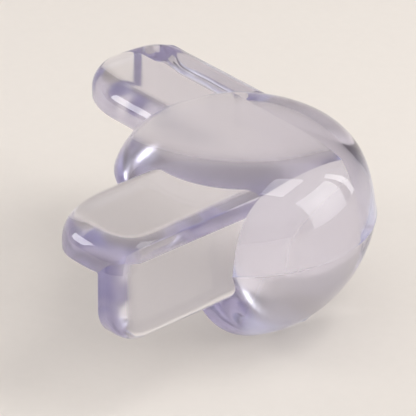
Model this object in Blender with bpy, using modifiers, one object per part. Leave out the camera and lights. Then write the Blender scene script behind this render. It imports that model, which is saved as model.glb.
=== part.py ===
"""Clear ball-nosed corner protector for a table, moulded as one solid piece.

The inner apex of the moulding, where the three faces of the table corner meet,
is the world origin. The table fills +X, +Y, -Z. One arm runs along +X, the
other along +Y, and the ball swells out over the corner itself.
"""

from math import asin, atan2, cos, hypot, pi, sin

import bmesh
import bpy
from mathutils import Matrix, Vector

# Arms, in metres
ARM_LENGTH = 0.0327  # from the apex to the tip of a top flange
SIDE_LENGTH = 0.0324  # and to the end of a side flange
FLANGE_REACH = 0.0098  # of the top flange, from the table's edge inwards
FLANGE_DROP = 0.0085  # of the side flange, from the table's top downwards
TOP_THICKNESS = 0.0036
SIDE_THICKNESS = 0.0032  # at the crease
CREASE_HEIGHT = 0.0030  # of the crisp edge between top and side, above the table's top
SIDE_DRAFT = 0.06  # lean of a side flange's outer face, in radians, thicker downwards
TOP_ROUND = 0.0029  # radius of the top flange's cushioned rim
SIDE_ROUND = 0.0025  # and of the side flange's
DROP_CORNER_ROUND = 0.0040  # lower tip corner of a side flange
SHOULDER_HEIGHT = 0.0004  # above which a side flange's end leans back under the top flange
SHOULDER_LEAN = 0.35  # back over up
TIP_APEX = 0.0038  # of a top flange's furthest point, from the table's edge inwards
TIP_INNER_TAPER = 0.0084  # length of the tip's curve on the side over the table
TIP_OUTER_TAPER = 0.0065  # and on the table's edge
INNER_POWER = 2.0  # 2 is an ellipse; more gives a fuller corner
OUTER_POWER = 3.0

# Ball, in metres
BALL_RADIUS = 0.01475  # at its level equator, where the two mould halves meet
BALL_INSET = 0.0067  # of its axis, from both sides of the table
BALL_LEVEL = -0.0048  # height of the equator
BALL_RISE = 0.0101  # from the equator to the crown
BALL_DROP = 0.0139  # from the equator to the lowest point
CROWN_POWER = 3.6  # more than 2, so the upper half has full shoulders
CAP_DRAFT = 0.16  # how fast the upper wall leans in from the equator, across over up
FOOT_LIFT = 0.002  # of the lower half ellipse's own middle, above the equator

# Facets
BALL_STEPS = 72
BALL_RINGS = 18  # in each half
ARC_STEPS = 10  # in a quarter circle
RIM_STEPS = 3  # extra rows on the cushioned rim

# Cutters run past what they cut by this much
CUTTER_OVERSIZE = 0.02
# The top flange runs past the mitre by this much, so that the two flanges merge
MITRE_OVERLAP = 0.0001
# Points closer than this are one
WELD_DISTANCE = 0.000001

CLEAR_COLOUR = (0.90, 0.89, 0.95, 1.0)
CLEAR_ROUGHNESS = 0.04
CLEAR_IOR = 1.5


def clear_the_scene():
    for obj in list(bpy.data.objects):
        bpy.data.objects.remove(obj, do_unlink=True)


def new_collection(name):
    collection = bpy.data.collections.new(name)
    bpy.context.scene.collection.children.link(collection)
    return collection


def clear_plastic():
    """Colourless soft PVC with a faint violet cast."""
    material = bpy.data.materials.new("clear_pvc")
    material.use_nodes = True
    shader = material.node_tree.nodes["Principled BSDF"]
    shader.inputs["Base Color"].default_value = CLEAR_COLOUR
    shader.inputs["Roughness"].default_value = CLEAR_ROUGHNESS
    shader.inputs["Metallic"].default_value = 0.0
    shader.inputs["IOR"].default_value = CLEAR_IOR
    shader.inputs["Transmission Weight"].default_value = 1.0
    return material


def as_helper(obj):
    """Mark a solid that only serves another object's modifiers."""
    obj.hide_render = True
    obj.display_type = "WIRE"
    return obj


def box(name, low, high, collection):
    """A block between two corners, as a helper."""
    bpy.ops.mesh.primitive_cube_add(size=1.0)
    obj = bpy.context.object
    obj.name = name
    low, high = Vector(low), Vector(high)
    place = Matrix.Translation((low + high) / 2) @ Matrix.Diagonal((high - low).to_4d())
    obj.data.transform(place)
    for owner in list(obj.users_collection):
        owner.objects.unlink(obj)
    collection.objects.link(obj)
    return as_helper(obj)


def move_mesh(obj, turn):
    """Move a mesh, and keep its faces pointing out where the move is a reflection."""
    obj.data.transform(turn)
    if turn.determinant() < 0:
        obj.data.flip_normals()


def boolean(obj, operation, other):
    modifier = obj.modifiers.new(f"{operation.lower()}_{other.name}", "BOOLEAN")
    modifier.operation = operation
    modifier.solver = "EXACT"
    modifier.object = other


def mesh_of_curve(curve_object, collection):
    """A closed mesh object from a filled curve, which it takes the place of."""
    graph = bpy.context.evaluated_depsgraph_get()
    mesh = bpy.data.meshes.new_from_object(curve_object.evaluated_get(graph))
    name, place = curve_object.name, curve_object.matrix_world.copy()
    bpy.data.objects.remove(curve_object, do_unlink=True)
    welded = bmesh.new()
    welded.from_mesh(mesh)
    bmesh.ops.remove_doubles(welded, verts=welded.verts, dist=WELD_DISTANCE)
    welded.transform(place)
    bmesh.ops.recalc_face_normals(welded, faces=welded.faces)
    welded.to_mesh(mesh)
    welded.free()
    obj = bpy.data.objects.new(name, mesh)
    collection.objects.link(obj)
    return as_helper(obj)


def slab(name, outline, half_thickness, rim_round, place, collection):
    """A plate with the given outline, and its rim rounded on both faces."""
    curve = bpy.data.curves.new(name, "CURVE")
    curve.dimensions = "2D"
    curve.fill_mode = "BOTH"
    curve.extrude = half_thickness - rim_round
    curve.bevel_depth = rim_round
    curve.bevel_resolution = RIM_STEPS
    curve.offset = -rim_round
    spline = curve.splines.new("POLY")
    spline.points.add(len(outline) - 1)
    for point, (u, v) in zip(spline.points, outline):
        point.co = (u, v, 0.0, 1.0)
    spline.use_cyclic_u = True
    obj = bpy.data.objects.new(name, curve)
    obj.matrix_world = place
    collection.objects.link(obj)
    bpy.context.view_layer.update()
    return mesh_of_curve(obj, collection)


def arc(centre, radius, start, end, steps):
    """Points on an arc between two angles, ends included."""
    angles = [start + (end - start) * i / steps for i in range(steps + 1)]
    return [(centre[0] + radius * cos(a), centre[1] + radius * sin(a)) for a in angles]


def quarter(across, along, power, steps=ARC_STEPS):
    """Points round a quarter superellipse, from its across end to its along end."""
    angles = [pi / 2 * i / steps for i in range(steps + 1)]
    return [(across * cos(a) ** (2 / power), along * sin(a) ** (2 / power)) for a in angles]


def tongue_outline():
    """Plan of a top flange, across and along the arm, with a lopsided round tip.

    It runs past the side flange's outer face. The side trim then meets the
    cushioned rim part-way down, at the height of the crease.
    """
    fall = TOP_THICKNESS - CREASE_HEIGHT
    run = (TOP_ROUND**2 - (TOP_ROUND - fall) ** 2) ** 0.5
    side = -SIDE_THICKNESS - (TOP_ROUND - run)
    inner = quarter(FLANGE_REACH - TIP_APEX, TIP_INNER_TAPER, INNER_POWER)
    outer = quarter(TIP_APEX - side, TIP_OUTER_TAPER, OUTER_POWER)
    outline = [(side, BALL_INSET - TOP_ROUND), (FLANGE_REACH, BALL_INSET - TOP_ROUND)]
    outline += [(TIP_APEX + u, ARM_LENGTH - TIP_INNER_TAPER + v) for u, v in inner]
    outline += [(TIP_APEX - u, ARM_LENGTH - TIP_OUTER_TAPER + v) for u, v in outer[-2::-1]]
    return outline


def drop_outline():
    """Elevation of a side flange, along the arm and up, with its lower tip corner round.

    Its end leans back near the top, so that it stays under the top flange's rim.
    """
    corner = (SIDE_LENGTH - DROP_CORNER_ROUND, DROP_CORNER_ROUND - FLANGE_DROP)
    foot = arc(corner, DROP_CORNER_ROUND, -pi / 2, 0.0, ARC_STEPS)
    above = TOP_THICKNESS + SIDE_ROUND
    back = SHOULDER_LEAN * (above - SHOULDER_HEIGHT)
    start = BALL_INSET - SIDE_ROUND
    shoulder = [(SIDE_LENGTH, SHOULDER_HEIGHT), (SIDE_LENGTH - back, above)]
    return shoulder + [(start, above), (start, -FLANGE_DROP)] + foot


def arm(name, turn, collection):
    """An arm that runs along +Y, taken to its own place by turn.

    Both flanges are cushioned plates that meet in a mitre, from the table's
    edge up to the crease. The top one runs on just past it into the side one.
    """
    far = hypot(FLANGE_DROP, ARM_LENGTH)
    mitre_turn = turn @ Matrix.Rotation(atan2(CREASE_HEIGHT, SIDE_THICKNESS), 4, "Y")

    upright = Matrix(((0, 0, 1, 0), (1, 0, 0, 0), (0, 1, 0, 0), (0, 0, 0, 1)))
    crease = Matrix.Translation((0.0, 0.0, CREASE_HEIGHT))
    lean = crease @ Matrix.Rotation(SIDE_DRAFT, 4, "Y") @ crease.inverted()
    half = SIDE_THICKNESS * cos(SIDE_DRAFT)
    place = turn @ lean @ upright
    side = slab(f"{name}_side_flange", drop_outline(), half, SIDE_ROUND, place, collection)
    over = box(f"{name}_over_mitre", (-far, -far, 0.0), (far, 2 * far, far), collection)
    move_mesh(over, mitre_turn)
    boolean(side, "DIFFERENCE", over)

    top = slab(name, tongue_outline(), TOP_THICKNESS, TOP_ROUND, turn, collection)
    under = box(f"{name}_under_mitre", (-far, -far, -far), (far, 2 * far, -MITRE_OVERLAP), collection)
    move_mesh(under, mitre_turn)
    boolean(top, "DIFFERENCE", under)
    low = (-SIDE_THICKNESS - CUTTER_OVERSIZE, -CUTTER_OVERSIZE, -FLANGE_DROP - CUTTER_OVERSIZE)
    high = (-SIDE_THICKNESS, ARM_LENGTH + CUTTER_OVERSIZE, TOP_THICKNESS + CUTTER_OVERSIZE)
    trim = box(f"{name}_trim", low, high, collection)
    move_mesh(trim, turn)
    boolean(top, "DIFFERENCE", trim)
    boolean(top, "UNION", side)
    return top


def ball_profile():
    """Half section of the ball, crown to foot.

    A full-shouldered cap leans in from the equator, and a half ellipse whose
    own middle lies a little higher leans in below it. A slight crease is left
    between them.
    """
    points = []
    for across, up in reversed(quarter(1.0, BALL_RISE, CROWN_POWER, BALL_RINGS)):
        points.append(((BALL_RADIUS - CAP_DRAFT * up) * across, up))
    depth = BALL_DROP + FOOT_LIFT
    start = asin(FOOT_LIFT / depth)
    for i in range(1, BALL_RINGS + 1):
        a = start + (pi / 2 - start) * i / BALL_RINGS
        points.append((BALL_RADIUS * cos(a) / cos(start), FOOT_LIFT - depth * sin(a)))
    points[0] = (0.0, BALL_RISE)
    points[-1] = (0.0, -BALL_DROP)
    return points


def ball(name, collection):
    """The ball as a turned solid over the corner."""
    mesh = bpy.data.meshes.new(name)
    profile = ball_profile()
    vertices = [(r, 0.0, z) for r, z in profile]
    edges = [(i, i + 1) for i in range(len(profile) - 1)]
    mesh.from_pydata(vertices, edges, [])
    obj = bpy.data.objects.new(name, mesh)
    obj.location = (BALL_INSET, BALL_INSET, BALL_LEVEL)
    collection.objects.link(obj)
    screw = obj.modifiers.new("turn", "SCREW")
    screw.axis = "Z"
    screw.steps = BALL_STEPS
    screw.render_steps = BALL_STEPS
    screw.use_merge_vertices = True
    screw.merge_threshold = WELD_DISTANCE
    screw.use_smooth_shade = True
    return obj


def build():
    clear_the_scene()
    parts = new_collection("furniture_corner_protector")
    helpers = new_collection("helpers")

    along_y = Matrix.Identity(4)
    along_x = Matrix(((0, 1, 0, 0), (1, 0, 0, 0), (0, 0, 1, 0), (0, 0, 0, 1)))
    protector = ball("corner_protector", parts)
    protector.data.materials.append(clear_plastic())
    for name, turn in (("arm_y", along_y), ("arm_x", along_x)):
        boolean(protector, "UNION", arm(name, turn, helpers))

    reach = ARM_LENGTH + CUTTER_OVERSIZE
    depth = BALL_DROP - BALL_LEVEL + CUTTER_OVERSIZE
    table = box("table_corner", (0.0, 0.0, -depth), (reach, reach, 0.0), helpers)
    boolean(protector, "DIFFERENCE", table)


build()
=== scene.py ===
"""Clear ball-nosed corner protector, as a studio picture.

The inner apex of the moulding, where the three inner faces on which it seats
would meet, is the origin. One arm runs along +X, the other along +Y, and the
ball swells out past the apex. Lengths are in metres and angles in degrees.
"""

from __future__ import annotations

import logging
from dataclasses import dataclass, field
from enum import Enum

import bmesh
import bpy
import numpy as np
from mathutils import Matrix, Vector

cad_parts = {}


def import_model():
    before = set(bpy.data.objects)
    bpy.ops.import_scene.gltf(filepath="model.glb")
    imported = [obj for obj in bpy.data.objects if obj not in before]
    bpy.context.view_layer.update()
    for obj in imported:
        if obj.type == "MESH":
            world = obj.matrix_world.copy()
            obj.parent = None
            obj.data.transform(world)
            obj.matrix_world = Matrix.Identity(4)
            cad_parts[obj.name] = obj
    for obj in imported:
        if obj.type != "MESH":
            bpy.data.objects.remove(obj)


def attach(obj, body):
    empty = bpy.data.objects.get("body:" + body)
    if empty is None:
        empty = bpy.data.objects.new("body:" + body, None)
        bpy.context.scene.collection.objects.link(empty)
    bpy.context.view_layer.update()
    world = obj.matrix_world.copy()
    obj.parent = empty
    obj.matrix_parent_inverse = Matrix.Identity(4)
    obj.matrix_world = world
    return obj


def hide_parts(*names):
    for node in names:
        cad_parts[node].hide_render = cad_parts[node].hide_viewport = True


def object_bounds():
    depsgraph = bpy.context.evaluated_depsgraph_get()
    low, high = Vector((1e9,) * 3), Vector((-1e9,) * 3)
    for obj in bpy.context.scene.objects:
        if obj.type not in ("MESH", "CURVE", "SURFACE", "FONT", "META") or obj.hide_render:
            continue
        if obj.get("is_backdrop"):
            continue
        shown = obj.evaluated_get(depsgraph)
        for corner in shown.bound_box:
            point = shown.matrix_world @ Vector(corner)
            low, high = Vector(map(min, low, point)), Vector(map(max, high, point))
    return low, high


LOG = logging.getLogger("corner_protector")

NODE = "corner_protector"
SLOT = "clear_pvc"
BODY = "root"

WELD = 1e-6
CUTTER_OVERSIZE = 0.02
FLOOR_GAP = 0.0002


class Side(Enum):
    """The two arms, each with the turn that takes a shape made along +Y to its place."""

    ALONG_Y = ((1, 0, 0, 0), (0, 1, 0, 0), (0, 0, 1, 0), (0, 0, 0, 1))
    ALONG_X = ((0, 1, 0, 0), (1, 0, 0, 0), (0, 0, 1, 0), (0, 0, 0, 1))

    @property
    def turn(self) -> Matrix:
        """The matrix from the +Y arm's place to this arm's."""
        return Matrix(self.value)


class Join(Enum):
    """What a Boolean does with its other solid."""

    UNION = "UNION"
    DIFFERENCE = "DIFFERENCE"


def resampled(points: np.ndarray, count: int) -> np.ndarray:
    """Points spread evenly along an open line.

    Formula: each coordinate is interpolated against the length run so far.

    Args:
        points: The line, one row a point.
        count: How many points to return, ends included.

    Returns:
        The new points, one row each.
    """
    steps = np.linalg.norm(np.diff(points, axis=0), axis=1)
    run = np.concatenate([[0.0], np.cumsum(steps)])
    even = np.linspace(0.0, run[-1], count)
    return np.stack([np.interp(even, run, points[:, k]) for k in range(points.shape[1])], axis=1)


def shell(name: str, rings: np.ndarray) -> bpy.types.Object:
    """Closed solid through a stack of closed rings, with a flat cap at each end.

    Args:
        name: Name of the new object.
        rings: Array of rings by points by three. A ring may shrink to a pole.

    Returns:
        The object, with its normals pointing out.
    """
    count, around = rings.shape[:2]
    index = np.arange(count * around).reshape(count, around)
    near, far = index[:-1], index[1:]
    quads = np.stack([near, np.roll(near, -1, 1), np.roll(far, -1, 1), far], axis=-1)
    faces = quads.reshape(-1, 4).tolist() + [index[0].tolist(), index[-1].tolist()]
    mesh = bpy.data.meshes.new(name)
    mesh.from_pydata(rings.reshape(-1, 3), [], faces)
    obj = bpy.data.objects.new(name, mesh)
    bpy.context.scene.collection.objects.link(obj)
    tidy_mesh(mesh)
    return obj


def tidy_mesh(mesh: bpy.types.Mesh) -> None:
    """Merge doubles, drop what collapsed and turn every face out.

    Args:
        mesh: The mesh, which changes in place.
    """
    work = bmesh.new()
    work.from_mesh(mesh)
    bmesh.ops.remove_doubles(work, verts=work.verts, dist=WELD)
    bmesh.ops.dissolve_degenerate(work, edges=work.edges, dist=WELD)
    bmesh.ops.recalc_face_normals(work, faces=work.faces)
    work.to_mesh(mesh)
    work.free()


def moved(obj: bpy.types.Object, turn: Matrix) -> bpy.types.Object:
    """Move an object's mesh, and keep its faces out where the move is a reflection.

    Args:
        obj: The object, which stays at the origin itself.
        turn: The move.

    Returns:
        The same object.
    """
    obj.data.transform(turn)
    if turn.determinant() < 0:
        obj.data.flip_normals()
    return obj


def block(name: str, low: tuple[float, ...], high: tuple[float, ...]) -> bpy.types.Object:
    """Box-shaped cutter between two corners.

    Args:
        name: Name of the new object.
        low: Its lowest corner.
        high: Its highest corner.

    Returns:
        The closed cutter.
    """
    (x0, y0, z0), (x1, y1, z1) = low, high
    plan = np.array([[x0, y0], [x1, y0], [x1, y1], [x0, y1]])
    rings = np.stack([np.column_stack([plan, np.full(4, z)]) for z in (z0, z1)])
    return shell(name, rings)


def joined(base: bpy.types.Object, how: Join, others: list[bpy.types.Object]) -> None:
    """Join or cut a solid with others in place, and use the others up.

    Args:
        base: The solid that changes.
        how: Union or difference.
        others: The solids that are added or taken away, in order.
    """
    for other in others:
        modifier = base.modifiers.new(other.name, "BOOLEAN")
        modifier.operation = how.value
        modifier.solver = "EXACT"
        modifier.object = other
    graph = bpy.context.evaluated_depsgraph_get()
    mesh = bpy.data.meshes.new_from_object(base.evaluated_get(graph))
    base.modifiers.clear()
    base.data = mesh
    for other in others:
        bpy.data.objects.remove(other, do_unlink=True)


class Shader:
    """A material's node tree, with short ways to add and link nodes."""

    def __init__(self, name: str) -> None:
        """Start an empty material with an output node.

        Args:
            name: Name of the material.
        """
        self.material = bpy.data.materials.new(name)
        self.material.use_nodes = True
        self.nodes = self.material.node_tree.nodes
        self.nodes.clear()
        self.output = self.nodes.new("ShaderNodeOutputMaterial")

    def add(self, kind: str, **values: object) -> bpy.types.Node:
        """Add a node, and set its inputs by name, with spaces as underscores.

        Args:
            kind: The node's type.
            **values: Input values, or node settings where no input has the name.

        Returns:
            The new node.
        """
        node = self.nodes.new(kind)
        for key, value in values.items():
            label = key.replace("_", " ")
            if label in node.inputs:
                node.inputs[label].default_value = value
            else:
                setattr(node, key, value)
        return node

    def link(self, source: bpy.types.NodeSocket, target: bpy.types.NodeSocket) -> None:
        """Join two sockets."""
        self.material.node_tree.links.new(source, target)


@dataclass(frozen=True)
class ClearPvc:
    """Clear soft PVC, glossy from the mould, with a faint violet cast in thick places."""

    tint: tuple[float, float, float] = (0.98, 0.975, 0.992)
    ior: float = 1.5
    shine: float = 0.85
    gloss_low: float = 0.015
    gloss_high: float = 0.07
    seat_frost: float = 0.16
    seat_depth: float = 0.00001
    bloom_size: float = 320.0
    bloom_low: float = 0.35
    bloom_high: float = 0.75
    ripple_size: float = 210.0
    ripple_depth: float = 0.00002
    cast: tuple[float, float, float] = (0.58, 0.54, 0.80)
    cast_density: float = 25.0

    def material(self) -> bpy.types.Material:
        """Build the node material.

        Returns:
            A refractive Principled material with uneven gloss, a soft ripple in
            its surface, satin inner faces where it seats, and a constant violet
            absorption inside.
        """
        tree = Shader(SLOT)
        place = tree.add("ShaderNodeTexCoord")
        body = tree.add(
            "ShaderNodeBsdfPrincipled",
            Base_Color=(*self.tint, 1.0),
            IOR=self.ior,
            Specular_IOR_Level=self.shine,
            Transmission_Weight=1.0,
        )
        bloom = tree.add("ShaderNodeTexNoise", Scale=self.bloom_size, Detail=4.0, Roughness=0.6)
        gloss = tree.add(
            "ShaderNodeMapRange",
            From_Min=self.bloom_low,
            From_Max=self.bloom_high,
            To_Min=self.gloss_low,
            To_Max=self.gloss_high,
        )
        ripple = tree.add("ShaderNodeTexNoise", Scale=self.ripple_size, Detail=2.0, Roughness=0.4)
        bump = tree.add("ShaderNodeBump", Strength=1.0, Distance=self.ripple_depth)
        tree.link(place.outputs["Object"], bloom.inputs["Vector"])
        tree.link(place.outputs["Object"], ripple.inputs["Vector"])
        tree.link(bloom.outputs["Fac"], gloss.inputs["Value"])
        frost = self.seat_mask(tree, place.outputs["Object"])
        rough = tree.add("ShaderNodeMath", operation="MAXIMUM")
        tree.link(gloss.outputs["Result"], rough.inputs[0])
        tree.link(frost, rough.inputs[1])
        tree.link(rough.outputs["Value"], body.inputs["Roughness"])
        tree.link(ripple.outputs["Fac"], bump.inputs["Height"])
        tree.link(bump.outputs["Normal"], body.inputs["Normal"])
        inside = tree.add(
            "ShaderNodeVolumeAbsorption", Color=(*self.cast, 1.0), Density=self.cast_density
        )
        tree.link(body.outputs["BSDF"], tree.output.inputs["Surface"])
        tree.link(inside.outputs["Volume"], tree.output.inputs["Volume"])
        return tree.material

    def seat_mask(self, tree: Shader, place: bpy.types.NodeSocket) -> bpy.types.NodeSocket:
        """Roughness of the three inner faces, and none elsewhere.

        Formula: the smallest of |x|, |y| and |z| is next to nothing only on the
        faces that the moulding seats on, which lie in the planes of the axes.

        Args:
            tree: The material's node tree.
            place: The socket with the object's own coordinates.

        Returns:
            The socket with the roughness.
        """
        parts = tree.add("ShaderNodeSeparateXYZ")
        tree.link(place, parts.inputs["Vector"])
        nearest = None
        for axis in "XYZ":
            distance = tree.add("ShaderNodeMath", operation="ABSOLUTE")
            tree.link(parts.outputs[axis], distance.inputs[0])
            if nearest is None:
                nearest = distance.outputs["Value"]
                continue
            least = tree.add("ShaderNodeMath", operation="MINIMUM")
            tree.link(nearest, least.inputs[0])
            tree.link(distance.outputs["Value"], least.inputs[1])
            nearest = least.outputs["Value"]
        frost = tree.add(
            "ShaderNodeMapRange",
            From_Min=0.0,
            From_Max=self.seat_depth,
            To_Min=self.seat_frost,
            To_Max=0.0,
        )
        tree.link(nearest, frost.inputs["Value"])
        return frost.outputs["Result"]


@dataclass(frozen=True)
class MattPaper:
    """Pale matt studio paper with a very fine tooth."""

    name: str
    colour: tuple[float, float, float]
    roughness: float = 0.9
    shine: float = 0.1
    tooth_size: float = 900.0
    tooth_depth: float = 0.00003
    tooth_strength: float = 0.5
    unevenness: float = 0.03

    def material(self) -> bpy.types.Material:
        """Build the node material.

        Returns:
            A rough diffuse material whose colour varies by a few hundredths.
        """
        tree = Shader(self.name)
        place = tree.add("ShaderNodeTexCoord")
        sheet = tree.add(
            "ShaderNodeBsdfPrincipled", Roughness=self.roughness, Specular_IOR_Level=self.shine
        )
        tooth = tree.add("ShaderNodeTexNoise", Scale=self.tooth_size, Detail=3.0)
        shade = tree.add("ShaderNodeMix", data_type="RGBA")
        low, high = (s for s in shade.inputs if s.type == "RGBA")
        low.default_value = (*(c * (1.0 - self.unevenness) for c in self.colour), 1.0)
        high.default_value = (*self.colour, 1.0)
        bump = tree.add(
            "ShaderNodeBump", Strength=self.tooth_strength, Distance=self.tooth_depth
        )
        colour_out = next(s for s in shade.outputs if s.type == "RGBA")
        tree.link(place.outputs["Object"], tooth.inputs["Vector"])
        tree.link(tooth.outputs["Fac"], shade.inputs["Factor"])
        tree.link(colour_out, sheet.inputs["Base Color"])
        tree.link(tooth.outputs["Fac"], bump.inputs["Height"])
        tree.link(bump.outputs["Normal"], sheet.inputs["Normal"])
        tree.link(sheet.outputs["BSDF"], tree.output.inputs["Surface"])
        return tree.material


@dataclass(frozen=True)
class Mark:
    """A small round moulding mark that stands proud of the ball's wall.

    The bearing is its angle round the ball, the height is its place above the
    equator, tall is how far it stands out, and wide is its Gaussian radius.
    """

    bearing: float
    height: float
    tall: float
    wide: float


@dataclass
class Ball:
    """The ball over the corner: a full-shouldered cap above its parting line, rounder below."""

    radius: float = 0.01475
    inset: float = 0.0067
    level: float = -0.0048
    rise: float = 0.0101
    drop: float = 0.0139
    crown_power: float = 3.6
    cap_draft: float = 0.16
    foot_lift: float = 0.002
    flash_height: float = 0.00003
    flash_width: float = 0.00011
    flash_reach: float = 3.0
    flash_clear: float = 4.0
    flow_depth: float = 0.000014
    flow_count: float = 64.0
    flow_middle: float = 118.0
    flow_spread: float = 20.0
    flow_fade: int = 4
    nub: Mark = Mark(bearing=-176.5, height=-0.00997, tall=0.00016, wide=0.0004)
    dot: Mark = Mark(bearing=177.0, height=0.0, tall=0.00007, wide=0.00022)
    fine_steps: int = 4000
    rows: int = 90
    flash_rows: int = 9
    steps: int = 300

    def curves(self) -> tuple[np.ndarray, np.ndarray]:
        """Half section of the cap and of the foot, as radius and height from the equator.

        Formula: above the equator the height is the rise times sin(a) to the
        power 2/p, and the radius is what is left of R after the draft, times
        cos(a) to the same power. Below it, radius and height run round a
        quarter ellipse whose own middle lies a little above the equator, which
        leaves a slight crease.

        Returns:
            The cap from its crown down and the foot from the equator down, one
            row a point.
        """
        a = np.linspace(np.pi / 2, 0.0, self.fine_steps)
        power = 2.0 / self.crown_power
        up = self.rise * np.sin(a) ** power
        cap = np.stack([(self.radius - self.cap_draft * up) * np.cos(a) ** power, up], axis=1)
        depth = self.drop + self.foot_lift
        start = np.arcsin(self.foot_lift / depth)
        a = np.linspace(start, np.pi / 2, self.fine_steps)
        wide = self.radius * np.cos(a) / np.cos(start)
        foot = np.stack([wide, self.foot_lift - depth * np.sin(a)], axis=1)
        cap[0, 0] = foot[-1, 0] = 0.0
        return cap, foot

    def profile(self) -> np.ndarray:
        """Half section from crown to foot, with finer rows over the flash line.

        Formula: a thin flash line stands proud of the equator as a Gaussian of
        the height, and is cut off at a few times its width.

        Returns:
            The section's points, as radius and height from the equator.
        """
        cap, foot = self.curves()
        above, below = resampled(cap, self.rows), resampled(foot, self.rows)
        edge = self.flash_reach * self.flash_width
        clear = self.flash_clear * self.flash_width
        fine = np.linspace(edge, -edge, 2 * self.flash_rows + 1)
        whole = np.concatenate([cap, foot[1:]])
        wall = np.interp(-fine, -whole[:, 1], whole[:, 0])
        flash = np.stack([wall, fine], axis=1)
        points = np.concatenate([above[above[:, 1] > clear], flash, below[below[:, 1] < -clear]])
        up = points[:, 1]
        proud = self.flash_height * np.exp(-((up / self.flash_width) ** 2))
        points[:, 0] += np.where(np.abs(up) <= edge, proud, 0.0)
        return points

    def relief(self, radius: np.ndarray, up: np.ndarray, turn: np.ndarray) -> np.ndarray:
        """How far the moulding marks stand out from the turned wall.

        Formula: faint upright flow lines are a sine of the turn, faded out
        round the ball as a Gaussian and kept to the cap's wall. The gate's nub
        and the dot on the parting line are Gaussians of the distance along the
        wall from their places.

        Args:
            radius: The wall's radius, one row a ring.
            up: The wall's height from the equator, one row a ring.
            turn: The angle round the ball, one column a step.

        Returns:
            The rise in metres, one row a ring and one column a step.
        """
        away = (turn - np.radians(self.flow_middle)) / np.radians(self.flow_spread)
        outward = np.clip(radius / self.radius, 0.0, 1.0)
        wall = np.clip(up / self.rise, 0.0, 1.0) * outward**self.flow_fade
        rise = self.flow_depth * wall * np.exp(-(away**2)) * np.sin(self.flow_count * turn)
        for mark in (self.nub, self.dot):
            swing = (turn - np.radians(mark.bearing) + np.pi) % (2.0 * np.pi) - np.pi
            squared = (radius * swing) ** 2 + (up - mark.height) ** 2
            rise = rise + mark.tall * np.exp(-squared / mark.wide**2)
        return rise

    def build(self) -> bpy.types.Object:
        """Turn the profile about the ball's own upright axis, with its moulding marks.

        Returns:
            The closed ball.
        """
        section = self.profile()
        turn = np.linspace(0.0, 2.0 * np.pi, self.steps, endpoint=False)[None]
        radius, up = section[:, :1], section[:, 1:]
        radius = radius + self.relief(radius, up, turn)
        radius[[0, -1]] = 0.0
        x = self.inset + radius * np.cos(turn)
        y = self.inset + radius * np.sin(turn)
        z = self.level + np.repeat(up, self.steps, axis=1)
        return shell("ball", np.stack([x, y, z], axis=-1))


@dataclass
class Quarter:
    """A quarter superellipse, |u|^n + |v|^n = 1, where u runs across an arm and v along it."""

    middle: tuple[float, float]
    across: float
    along: float
    power: float
    steps: int = 2001

    def points(self) -> np.ndarray:
        """Points of the curve at even angles.

        Formula: u is cos(a) and v is sin(a), each to the power 2/n.

        Returns:
            The points from the end across to the end along, one row each.
        """
        a = np.linspace(0.0, np.pi / 2, self.steps)
        u = np.clip(np.cos(a), 0.0, None) ** (2 / self.power)
        v = np.sin(a) ** (2 / self.power)
        x, y = self.middle[0] + self.across * u, self.middle[1] + self.along * v
        return np.stack([x, y], axis=1)

    def slopes(self, points: np.ndarray) -> np.ndarray:
        """Outward direction at points on the curve or on its straight run-out.

        Formula: the gradient of |u|^n + |v|^n, with v at least 0.

        Args:
            points: The points, one row each.

        Returns:
            The directions, one row each, at any length.
        """
        u = (points[:, 0] - self.middle[0]) / self.across
        v = np.clip((points[:, 1] - self.middle[1]) / self.along, 0.0, None)
        n = self.power - 1
        return np.stack([np.abs(u) ** n / self.across, v**n / self.along], axis=1)


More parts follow.
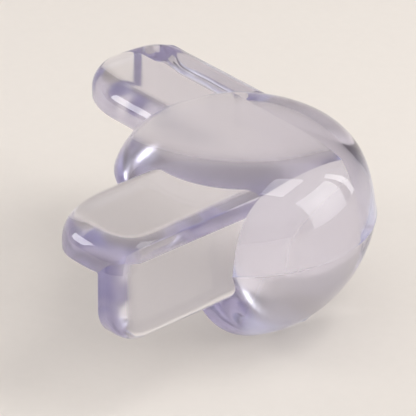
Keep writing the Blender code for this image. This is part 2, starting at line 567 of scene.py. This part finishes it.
@dataclass
class Arm:
    """One arm: a level cushioned flange over an upright one, which meet in a crease."""

    length: float = 0.0327
    side_length: float = 0.0324
    reach: float = 0.0098
    drop: float = 0.0085
    top_thickness: float = 0.0036
    side_thickness: float = 0.0032
    crease_height: float = 0.0030
    side_draft: float = 0.06
    top_round: float = 0.0029
    side_round: float = 0.0025
    corner_round: float = 0.0040
    shoulder: float = 0.0004
    shoulder_lean: float = 0.35
    tip_apex: float = 0.0038
    inner_taper: float = 0.0084
    outer_taper: float = 0.0065
    inner_power: float = 2.0
    outer_power: float = 3.0
    root: float = 0.0067
    mitre_overlap: float = 0.0001
    overlap: float = 0.001
    tip_points: int = 260
    side_points: int = 40
    corner_points: int = 60
    rim_rows: int = 24

    def outer(self) -> float:
        """Across-arm place of the top flange's outer side, before it is trimmed.

        Formula: the trim plane meets the rim where the rim has fallen from the
        top by the top's thickness less the crease's height.

        Returns:
            The place, which is negative because it lies outside the side seat.
        """
        fall = self.top_thickness - self.crease_height
        run = (self.top_round**2 - (self.top_round - fall) ** 2) ** 0.5
        return -self.side_thickness - (self.top_round - run)

    def plan(self) -> tuple[np.ndarray, np.ndarray]:
        """Plan of the top flange and the outward direction at each of its points.

        Formula: straight sides end in two quarter superellipses, which meet at
        the furthest point of the tip.

        Returns:
            Points and unit normals, one row each, round the outline.
        """
        outer, apex = self.outer(), self.tip_apex
        inside = Quarter(
            middle=(apex, self.length - self.inner_taper),
            across=self.reach - apex,
            along=self.inner_taper,
            power=self.inner_power,
        )
        outside = Quarter(
            middle=(apex, self.length - self.outer_taper),
            across=outer - apex,
            along=self.outer_taper,
            power=self.outer_power,
        )
        tip = np.concatenate([inside.points(), outside.points()[-2::-1]])
        tip = resampled(tip, self.tip_points)
        start = self.root - self.top_round
        share = np.linspace(0.0, 1.0, self.side_points, endpoint=False)
        inner_run = start + (tip[0, 1] - start) * share
        outer_run = start + (tip[-1, 1] - start) * share[::-1]
        inner_side = np.stack([np.full_like(share, self.reach), inner_run], axis=1)
        outer_side = np.stack([np.full_like(share, outer), outer_run], axis=1)
        points = np.concatenate([inner_side, tip, outer_side])
        inward = points[:, :1] > apex
        slope = np.where(inward, inside.slopes(points), outside.slopes(points))
        return points, slope / np.linalg.norm(slope, axis=1, keepdims=True)

    def rim(self, rim_round: float, face: float) -> tuple[np.ndarray, np.ndarray]:
        """How far each ring of a cushioned rim is drawn in, and how far out it lies.

        Formula: drawn in by the round times (1 - sin t), and out from the seat
        by the face's distance less the round times (1 - cos t), for t from 0 to
        90 degrees.

        Args:
            rim_round: The rim's radius.
            face: The distance of the flange's outer face from its seat.

        Returns:
            The two rows of numbers, from the face to the rim's full width.
        """
        t = np.linspace(0.0, np.pi / 2, self.rim_rows)
        return rim_round * (1.0 - np.sin(t)), face - rim_round + rim_round * np.cos(t)

    def mitre(self, name: str, low: float, high: float) -> bpy.types.Object:
        """Cutter over or under the mitre, the plane from the inner edge to the crease.

        Args:
            name: Name of the new object.
            low: Its lowest height above the mitre, square to it.
            high: Its highest height above the mitre.

        Returns:
            The closed cutter.
        """
        far = 2.0 * self.length
        cutter = block(name, (-far, -far, low), (far, far, high))
        slope = np.arctan2(self.crease_height, self.side_thickness)
        return moved(cutter, Matrix.Rotation(slope, 4, "Y"))

    def top(self) -> bpy.types.Object:
        """Top flange with its cushioned rim, cut at the mitre and trimmed at its outer face.

        Returns:
            The closed flange, still too deep where the square corner comes out.
        """
        points, normals = self.plan()
        draw_in, height = self.rim(self.top_round, self.top_thickness)
        draw_in, height = np.append(draw_in, 0.0), np.append(height, -self.top_thickness)
        flat = points[None] - normals[None] * draw_in[:, None, None]
        level = np.broadcast_to(height[:, None, None], (*flat.shape[:2], 1))
        flange = shell("top_flange", np.concatenate([flat, level], axis=-1))
        spare = CUTTER_OVERSIZE
        trim = block(
            "trim",
            (-self.side_thickness - spare, -spare, -self.drop - spare),
            (-self.side_thickness, self.length + spare, self.top_thickness + spare),
        )
        under = self.mitre("under_mitre", -2.0 * self.length, -self.mitre_overlap)
        joined(flange, Join.DIFFERENCE, [under, trim])
        return flange

    def elevation(self, draw_in: np.ndarray) -> np.ndarray:
        """Outlines of the side flange as seen square to its seat.

        Formula: a rectangle with one round lower corner, whose end leans back
        above its shoulder. Each ring is drawn in, square to every edge.

        Args:
            draw_in: How far each ring is drawn in.

        Returns:
            Rings by points by two, as the place along the arm and the height.
        """
        high = self.top_thickness + self.overlap
        arc = np.linspace(-np.pi / 2, 0.0, self.corner_points)
        round_off = np.stack([np.cos(arc), np.sin(arc)], axis=1)
        middle = np.array([self.side_length - self.corner_round, self.corner_round - self.drop])
        bend = middle + round_off * (self.corner_round - draw_in)[:, None, None]
        lean = np.arctan(self.shoulder_lean)
        end = self.side_length - self.shoulder_lean * (high - self.shoulder)
        back = end - draw_in / np.cos(lean)
        root, top = np.full(len(draw_in), self.root), np.full(len(draw_in), high)
        corners = np.stack(
            [
                np.stack([bend[:, -1, 0], self.shoulder - draw_in * np.tan(lean / 2)], axis=1),
                np.stack([back, top], axis=1),
                np.stack([root, top], axis=1),
                np.stack([root, bend[:, 0, 1]], axis=1),
            ],
            axis=1,
        )
        return np.concatenate([bend, corners], axis=1)

    def side(self) -> bpy.types.Object:
        """Side flange with its cushioned rim, leaned by its draft and cut at the mitre.

        Formula: each ring of the elevation moves out from the seat as the rim
        does, and the whole is turned by the draft about the crease.

        Returns:
            The closed side flange.
        """
        draw_in, out = self.rim(self.side_round, self.side_thickness * np.cos(self.side_draft))
        draw_in, out = np.append(draw_in, 0.0), np.append(out, -self.overlap)
        outline = self.elevation(draw_in)
        across = np.broadcast_to(-out[:, None, None], (*outline.shape[:2], 1))
        flange = shell("side_flange", np.concatenate([across, outline], axis=-1))
        crease = Matrix.Translation((0.0, 0.0, self.crease_height))
        moved(flange, crease @ Matrix.Rotation(self.side_draft, 4, "Y") @ crease.inverted())
        joined(flange, Join.DIFFERENCE, [self.mitre("over_mitre", 0.0, 2.0 * self.length)])
        return flange

    def build(self, side: Side) -> bpy.types.Object:
        """Join the two flanges and take them to their place.

        Args:
            side: Which arm this is.

        Returns:
            The arm, before the square corner is cut out of it.
        """
        top = self.top()
        joined(top, Join.UNION, [self.side()])
        return moved(top, side.turn)


@dataclass
class Protector:
    """The whole moulding: the ball and the two arms, with a square corner cut out of them."""

    ball: Ball = field(default_factory=Ball)
    arm: Arm = field(default_factory=Arm)
    finish: ClearPvc = field(default_factory=ClearPvc)
    crisp_angle: float = 11.0

    def build(self) -> bpy.types.Object:
        """Build and dress the moulding, and put it in the CAD solid's place.

        Returns:
            The finished piece.
        """
        piece = self.ball.build()
        piece.name = "clear_moulding"
        joined(piece, Join.UNION, [self.arm.build(side) for side in Side])
        reach = self.arm.length + CUTTER_OVERSIZE
        depth = self.ball.drop - self.ball.level + CUTTER_OVERSIZE
        corner = block("square_corner", (0.0, 0.0, -depth), (reach, reach, 0.0))
        joined(piece, Join.DIFFERENCE, [corner])
        self.smooth(piece)
        piece.data.materials.clear()
        piece.data.materials.append(self.finish.material())
        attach(piece, BODY)
        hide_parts(NODE)
        LOG.info("%s: %d faces", piece.name, len(piece.data.polygons))
        return piece

    def smooth(self, piece: bpy.types.Object) -> None:
        """Cut the many-sided faces up and shade all smooth, with the creases kept crisp.

        Args:
            piece: The finished moulding.
        """
        mesh = piece.data
        tidy_mesh(mesh)
        work = bmesh.new()
        work.from_mesh(mesh)
        bmesh.ops.triangulate(work, faces=[f for f in work.faces if len(f.verts) > 4])
        work.to_mesh(mesh)
        work.free()
        mesh.polygons.foreach_set("use_smooth", np.ones(len(mesh.polygons), dtype=bool))
        mesh.set_sharp_from_angle(angle=np.radians(self.crisp_angle))


@dataclass(frozen=True)
class Lamp:
    """A rectangular soft lamp aimed at the moulding.

    The bearing is its direction from the origin round the upright axis, the
    height is its angle above the level, and the power is in watts. The spread
    is the angle of the cone that it lights. A lamp that isn't seen through the
    clear body still shows in its gloss.
    """

    name: str
    bearing: float
    height: float
    distance: float
    size: tuple[float, float]
    power: float
    spread: float = 180.0
    through: bool = True

    def build(self) -> bpy.types.Object:
        """Add the lamp to the scene.

        Returns:
            The lamp.
        """
        data = bpy.data.lights.new(self.name, "AREA")
        data.shape = "RECTANGLE"
        data.size, data.size_y = self.size
        data.energy = self.power
        data.spread = np.radians(self.spread)
        lamp = bpy.data.objects.new(self.name, data)
        b, h = np.radians(self.bearing), np.radians(self.height)
        place = Vector((np.cos(b) * np.cos(h), np.sin(b) * np.cos(h), np.sin(h))) * self.distance
        lamp.location = place
        lamp.rotation_euler = (-place).to_track_quat("-Z", "Y").to_euler()
        lamp.visible_camera = False
        lamp.visible_transmission = self.through
        bpy.context.scene.collection.objects.link(lamp)
        return lamp


LAMPS = (
    Lamp(
        name="window",
        bearing=-141.0,
        height=20.0,
        distance=0.34,
        size=(0.255, 0.27),
        power=0.31,
        spread=110.0,
        through=False,
    ),
    Lamp(
        name="window_strip",
        bearing=-109.0,
        height=20.0,
        distance=0.36,
        size=(0.038, 0.27),
        power=0.05,
        spread=110.0,
    ),
    Lamp(
        name="top_box",
        bearing=-140.0,
        height=68.0,
        distance=0.5,
        size=(0.26, 0.16),
        power=0.4,
    ),
    Lamp(
        name="left_box",
        bearing=44.0,
        height=20.0,
        distance=0.4,
        size=(0.12, 0.12),
        power=0.32,
        through=False,
    ),
)


@dataclass
class Studio:
    """Pale floor swept up into a backdrop, soft lamps and even light all round."""

    floor_level: float
    paper: MattPaper = field(default_factory=lambda: MattPaper("studio_paper", (0.82, 0.765, 0.69)))
    half_width: float = 1.2
    front: float = 1.0
    sweep_start: float = 0.35
    sweep_radius: float = 0.5
    sweep_height: float = 1.2
    bend_points: int = 40
    line_points: int = 120
    across_points: int = 60
    facing: float = 138.2
    ceiling: tuple[float, float, float] = (0.95, 0.95, 1.0)
    walls: tuple[float, float, float] = (0.12, 0.10, 0.12)
    wall_top: float = 0.62
    room_strength: float = 0.81
    lamps: tuple[Lamp, ...] = LAMPS
    bounces: int = 32

    def floor(self) -> bpy.types.Object:
        """Floor and backdrop as one sheet.

        Formula: a line runs level from the front to the sweep, round a quarter
        circle and straight up, and is carried sideways across the sheet.

        Returns:
            The sheet, marked as stage.
        """
        a = np.linspace(0.0, np.pi / 2, self.bend_points)
        bend = np.stack(
            [self.sweep_start + self.sweep_radius * np.sin(a), self.sweep_radius * (1 - np.cos(a))],
            axis=1,
        )
        line = np.concatenate([[[-self.front, 0.0]], bend, [[bend[-1, 0], self.sweep_height]]])
        line = resampled(line, self.line_points)
        across = np.linspace(-self.half_width, self.half_width, self.across_points)
        away = np.radians(self.facing + 180.0)
        ahead = np.array([np.cos(away), np.sin(away), 0.0])
        aside = np.array([-np.sin(away), np.cos(away), 0.0])
        points = (
            line[:, None, :1] * ahead
            + across[None, :, None] * aside
            + (line[:, None, 1:] + self.floor_level) * np.array([0.0, 0.0, 1.0])
        )
        rows, columns = points.shape[:2]
        index = np.arange(rows * columns).reshape(rows, columns)
        quads = np.stack([index[:-1, :-1], index[1:, :-1], index[1:, 1:], index[:-1, 1:]], axis=-1)
        mesh = bpy.data.meshes.new("studio_sweep")
        mesh.from_pydata(points.reshape(-1, 3), [], quads.reshape(-1, 4).tolist())
        mesh.polygons.foreach_set("use_smooth", np.ones(len(mesh.polygons), dtype=bool))
        sheet = bpy.data.objects.new("studio_sweep", mesh)
        bpy.context.scene.collection.objects.link(sheet)
        mesh.materials.append(self.paper.material())
        sheet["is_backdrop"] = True
        return sheet

    def world(self) -> None:
        """Fill the studio with even light from a pale ceiling, over dimmer walls.

        Formula: the colour eases from the walls' to the ceiling's as the sine
        of the angle above the level runs from none to the wall's top.
        """
        world = bpy.data.worlds.new("studio_room")
        bpy.context.scene.world = world
        world.use_nodes = True
        nodes, links = world.node_tree.nodes, world.node_tree.links
        place = nodes.new("ShaderNodeTexCoord")
        parts = nodes.new("ShaderNodeSeparateXYZ")
        height = nodes.new("ShaderNodeMapRange")
        height.interpolation_type = "SMOOTHSTEP"
        height.inputs["From Min"].default_value = 0.0
        height.inputs["From Max"].default_value = self.wall_top
        shade = nodes.new("ShaderNodeMix")
        shade.data_type = "RGBA"
        low, high = (s for s in shade.inputs if s.type == "RGBA")
        low.default_value, high.default_value = (*self.walls, 1.0), (*self.ceiling, 1.0)
        back = nodes["Background"]
        back.inputs["Strength"].default_value = self.room_strength
        links.new(place.outputs["Generated"], parts.inputs["Vector"])
        links.new(parts.outputs["Z"], height.inputs["Value"])
        links.new(height.outputs["Result"], shade.inputs["Factor"])
        links.new(next(s for s in shade.outputs if s.type == "RGBA"), back.inputs["Color"])

    def build(self) -> None:
        """Set up the floor, the world and the lamps, and let light cross the body many times."""
        light_paths = bpy.context.scene.cycles
        light_paths.max_bounces = self.bounces
        light_paths.glossy_bounces = self.bounces
        light_paths.transmission_bounces = self.bounces
        self.floor()
        self.world()
        for lamp in self.lamps:
            lamp.build()
        LOG.info("studio: floor at %.4f m, %d lamps", self.floor_level, len(self.lamps))


@dataclass
class PhotoCamera:
    """Camera at the photograph's angle, whose place was found from the moulding's edges."""

    bearing: float = 41.804
    tilt: float = 29.59
    roll: float = 0.667
    distance: float = 0.352976
    aside: float = 0.0130547
    below: float = -0.0038382
    lens: float = 284.077
    sensor: float = 36.0
    near: float = 0.01
    far: float = 10.0

    def build(self) -> bpy.types.Object:
        """Add the camera and make it the scene's own.

        Formula: the origin lies at the camera's distance along its view, moved
        aside and below the middle of the frame.

        Returns:
            The camera.
        """
        b, e, r = (np.radians(v) for v in (self.bearing, self.tilt, self.roll))
        level = np.array([np.cos(b), -np.sin(b), 0.0])
        right = np.array([-np.sin(b), -np.cos(b), 0.0])
        upright = np.array([0.0, 0.0, 1.0])
        ahead = level * np.cos(e) - upright * np.sin(e)
        over = level * np.sin(e) + upright * np.cos(e)
        across = np.cos(r) * right + np.sin(r) * over
        above = -np.sin(r) * right + np.cos(r) * over
        place = -(ahead * self.distance + across * self.aside - above * self.below)
        frame = np.eye(4)
        frame[:3] = np.stack([across, above, -ahead, place], axis=1)
        data = bpy.data.cameras.new("photo_camera")
        data.lens, data.sensor_width = self.lens, self.sensor
        data.clip_start, data.clip_end = self.near, self.far
        camera = bpy.data.objects.new("photo_camera", data)
        camera.matrix_world = Matrix(frame.tolist())
        bpy.context.scene.collection.objects.link(camera)
        bpy.context.scene.camera = camera
        return camera


def main() -> None:
    """Load the frame, build and dress the moulding, and set up its picture."""
    logging.basicConfig(level=logging.INFO, format="%(name)s: %(message)s")
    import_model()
    cad_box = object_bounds()
    Protector().build()
    low, _ = cad_box
    Studio(floor_level=low[2] - FLOOR_GAP).build()
    PhotoCamera().build()
    bpy.context.scene.view_settings.view_transform = "Standard"


if __name__ == "__main__":
    main()
